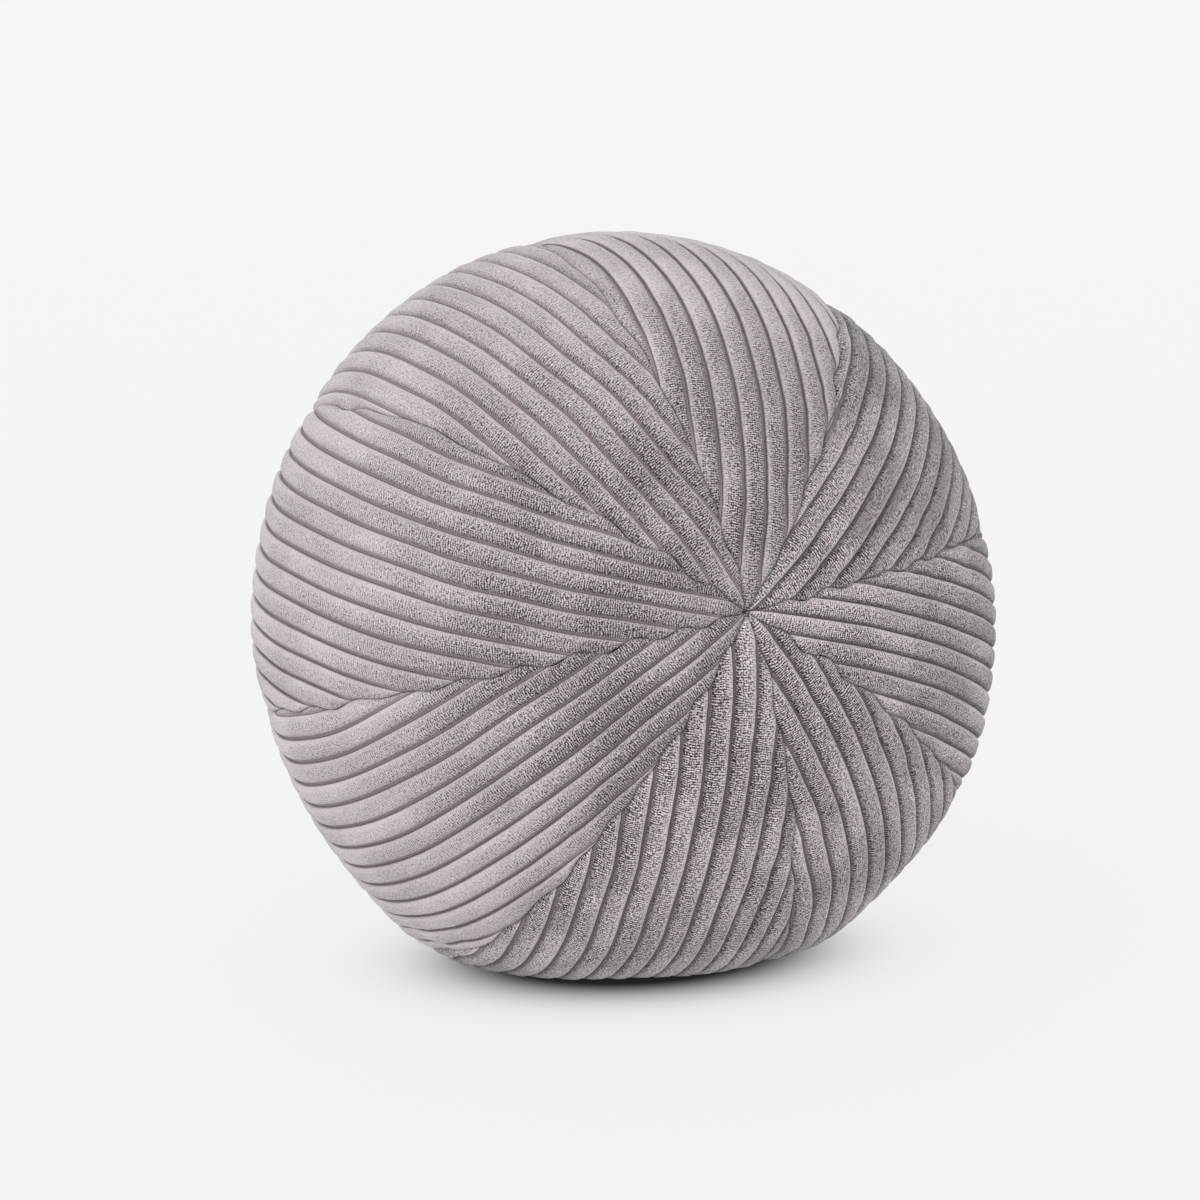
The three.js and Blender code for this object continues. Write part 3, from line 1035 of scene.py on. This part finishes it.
nap_down = corduroy("Corduroy", (0.840, 0.776, 0.788), SHADOW, GROUND,
                    contrast=1.06, waist_contrast=1.1, foot_shade=0.26)
stroked = corduroy("Corduroy stroked", (0.662, 0.612, 0.622), SHADOW, PALE_GROUND,
                   contrast=1.0, waist_contrast=0.5, foot_shade=0.12)
nap_up = corduroy("Corduroy nap up", (0.806, 0.745, 0.757), DEEP_SHADOW, GROUND,
                  contrast=1.15, waist_contrast=1.1, foot_shade=0.22)
FINISHES = dict.fromkeys(("top", "upper_left", "left", "lower_left"), stroked)
FINISHES["upper_right"] = nap_up
print("Finishes:", {gore.name: FINISHES.get(gore.name, nap_down).name for gore in gores})

# %% [markdown]
# ## Putting the gores in the frame
#
# Each fine gore stands in for its rough one, which is hidden. It rides on the
# pillow's one body and takes its finish from the table of finishes above.

# %% Ride, replace, finish
for gore in gores:
    piece = gore_objects[gore.name]
    piece.data.materials.append(FINISHES.get(gore.name, nap_down))
    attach(piece, "root")
    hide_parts("gore_" + gore.name)
    print(piece.name, "stands in for gore_" + gore.name)

# %% [markdown]
# ## Floor and light
#
# The pillow stands on a pale seamless floor in soft light from all around,
# with one broad light from the left to model the wales. In a studio the floor
# is lit until it is nearly white. Here it glows by itself, which is quicker.
# Under the ball the glow fades smoothly to a dark colour in an oval spot. This is a
# painted shadow where a real floor would get no light, added to the real shadow that the floor's
# faint own colour takes.

# %% A wide floor
FLOOR_SIDE = 30
FLOOR_COLOUR = (0.07, 0.0695, 0.069, 1)

floor_mesh = bpy.data.meshes.new("Floor")
edge = FLOOR_SIDE / 2
floor_mesh.from_pydata([(-edge, -edge, 0), (edge, -edge, 0), (edge, edge, 0), (-edge, edge, 0)],
                       [], [(0, 1, 2, 3)])
floor = bpy.data.objects.new("Floor", floor_mesh)
bpy.context.scene.collection.objects.link(floor)
floor_material = bpy.data.materials.new("Floor")
floor_material.use_nodes = True
floor_shader = floor_material.node_tree.nodes["Principled BSDF"]
floor_shader.inputs["Base Color"].default_value = FLOOR_COLOUR
floor_shader.inputs["Roughness"].default_value = 0.9
floor_shader.inputs["Specular IOR Level"].default_value = 0.1
floor_mesh.materials.append(floor_material)
print("The floor is", FLOOR_SIDE, "m wide")

# %% Its glow, with a painted shadow under the ball
# Where the painted shadow lies, how wide it is and how it fades into the glow.
SHADOW_SPOT_CENTRE = (0.002, -0.002, 0)
SHADOW_SPOT_SHAPE = (1.27, 1, 1)
GLOW_START = 0.0435
GLOW_REACH = 0.022
GLOW_EASE = 1.6
PAINTED_FLOOR_SHADOW = (0.012, 0.010, 0.011, 1)
FLOOR_GLOW = (0.821, 0.813, 0.799, 1)

floor_tree = floor_material.node_tree
on_floor = floor_tree.nodes.new("ShaderNodeTexCoord").outputs["Object"]
shadow_spot = floor_tree.nodes.new("ShaderNodeMapping")
shadow_spot.vector_type = "TEXTURE"
shadow_spot.inputs["Location"].default_value = SHADOW_SPOT_CENTRE
shadow_spot.inputs["Scale"].default_value = SHADOW_SPOT_SHAPE
join(floor_tree, on_floor, shadow_spot.inputs["Vector"])
from_shadow_spot = floor_tree.nodes.new("ShaderNodeVectorMath")
from_shadow_spot.operation = "LENGTH"
join(floor_tree, shadow_spot.outputs["Vector"], from_shadow_spot.inputs[0])
outside = math_node(floor_tree, "SUBTRACT", from_shadow_spot.outputs["Value"], GLOW_START)
outside = math_node(floor_tree, "MAXIMUM", outside, 0.0)
outside = math_node(floor_tree, "DIVIDE", outside, GLOW_REACH)
eased = math_node(floor_tree, "POWER", outside, GLOW_EASE)
painted_shadow_mask = math_node(floor_tree, "EXPONENT", math_node(floor_tree, "MULTIPLY", eased, -1.0))
# The even glow, faded to a dark colour under the ball as a painted shadow.
glow_with_painted_shadow = mix_node(floor_tree, "RGBA", painted_shadow_mask, FLOOR_GLOW, PAINTED_FLOOR_SHADOW)
join(floor_tree, glow_with_painted_shadow, floor_shader.inputs["Emission Color"])
floor_shader.inputs["Emission Strength"].default_value = 1
print("The spot is", round(2000 * GLOW_START * SHADOW_SPOT_SHAPE[0]), "mm wide")

# %% The light
SKY_STRENGTH = 0.9
SUN_STRENGTH = 1.1
SUN_SOFTNESS = radians(70)
SUN_TURN = (radians(30), radians(-50), 0)

scene = bpy.context.scene
scene.view_settings.view_transform = "Standard"
world = bpy.data.worlds.new("Studio")
world.use_nodes = True
world.node_tree.nodes["Background"].inputs["Color"].default_value = (1, 1, 1, 1)
world.node_tree.nodes["Background"].inputs["Strength"].default_value = SKY_STRENGTH
scene.world = world

sun_data = bpy.data.lights.new("Soft light", "SUN")
sun_data.energy = SUN_STRENGTH
sun_data.angle = SUN_SOFTNESS
sun = bpy.data.objects.new("Soft light", sun_data)
sun.rotation_euler = SUN_TURN
scene.collection.objects.link(sun)
print("Strengths of the sky and of the broad light:", SKY_STRENGTH, SUN_STRENGTH)
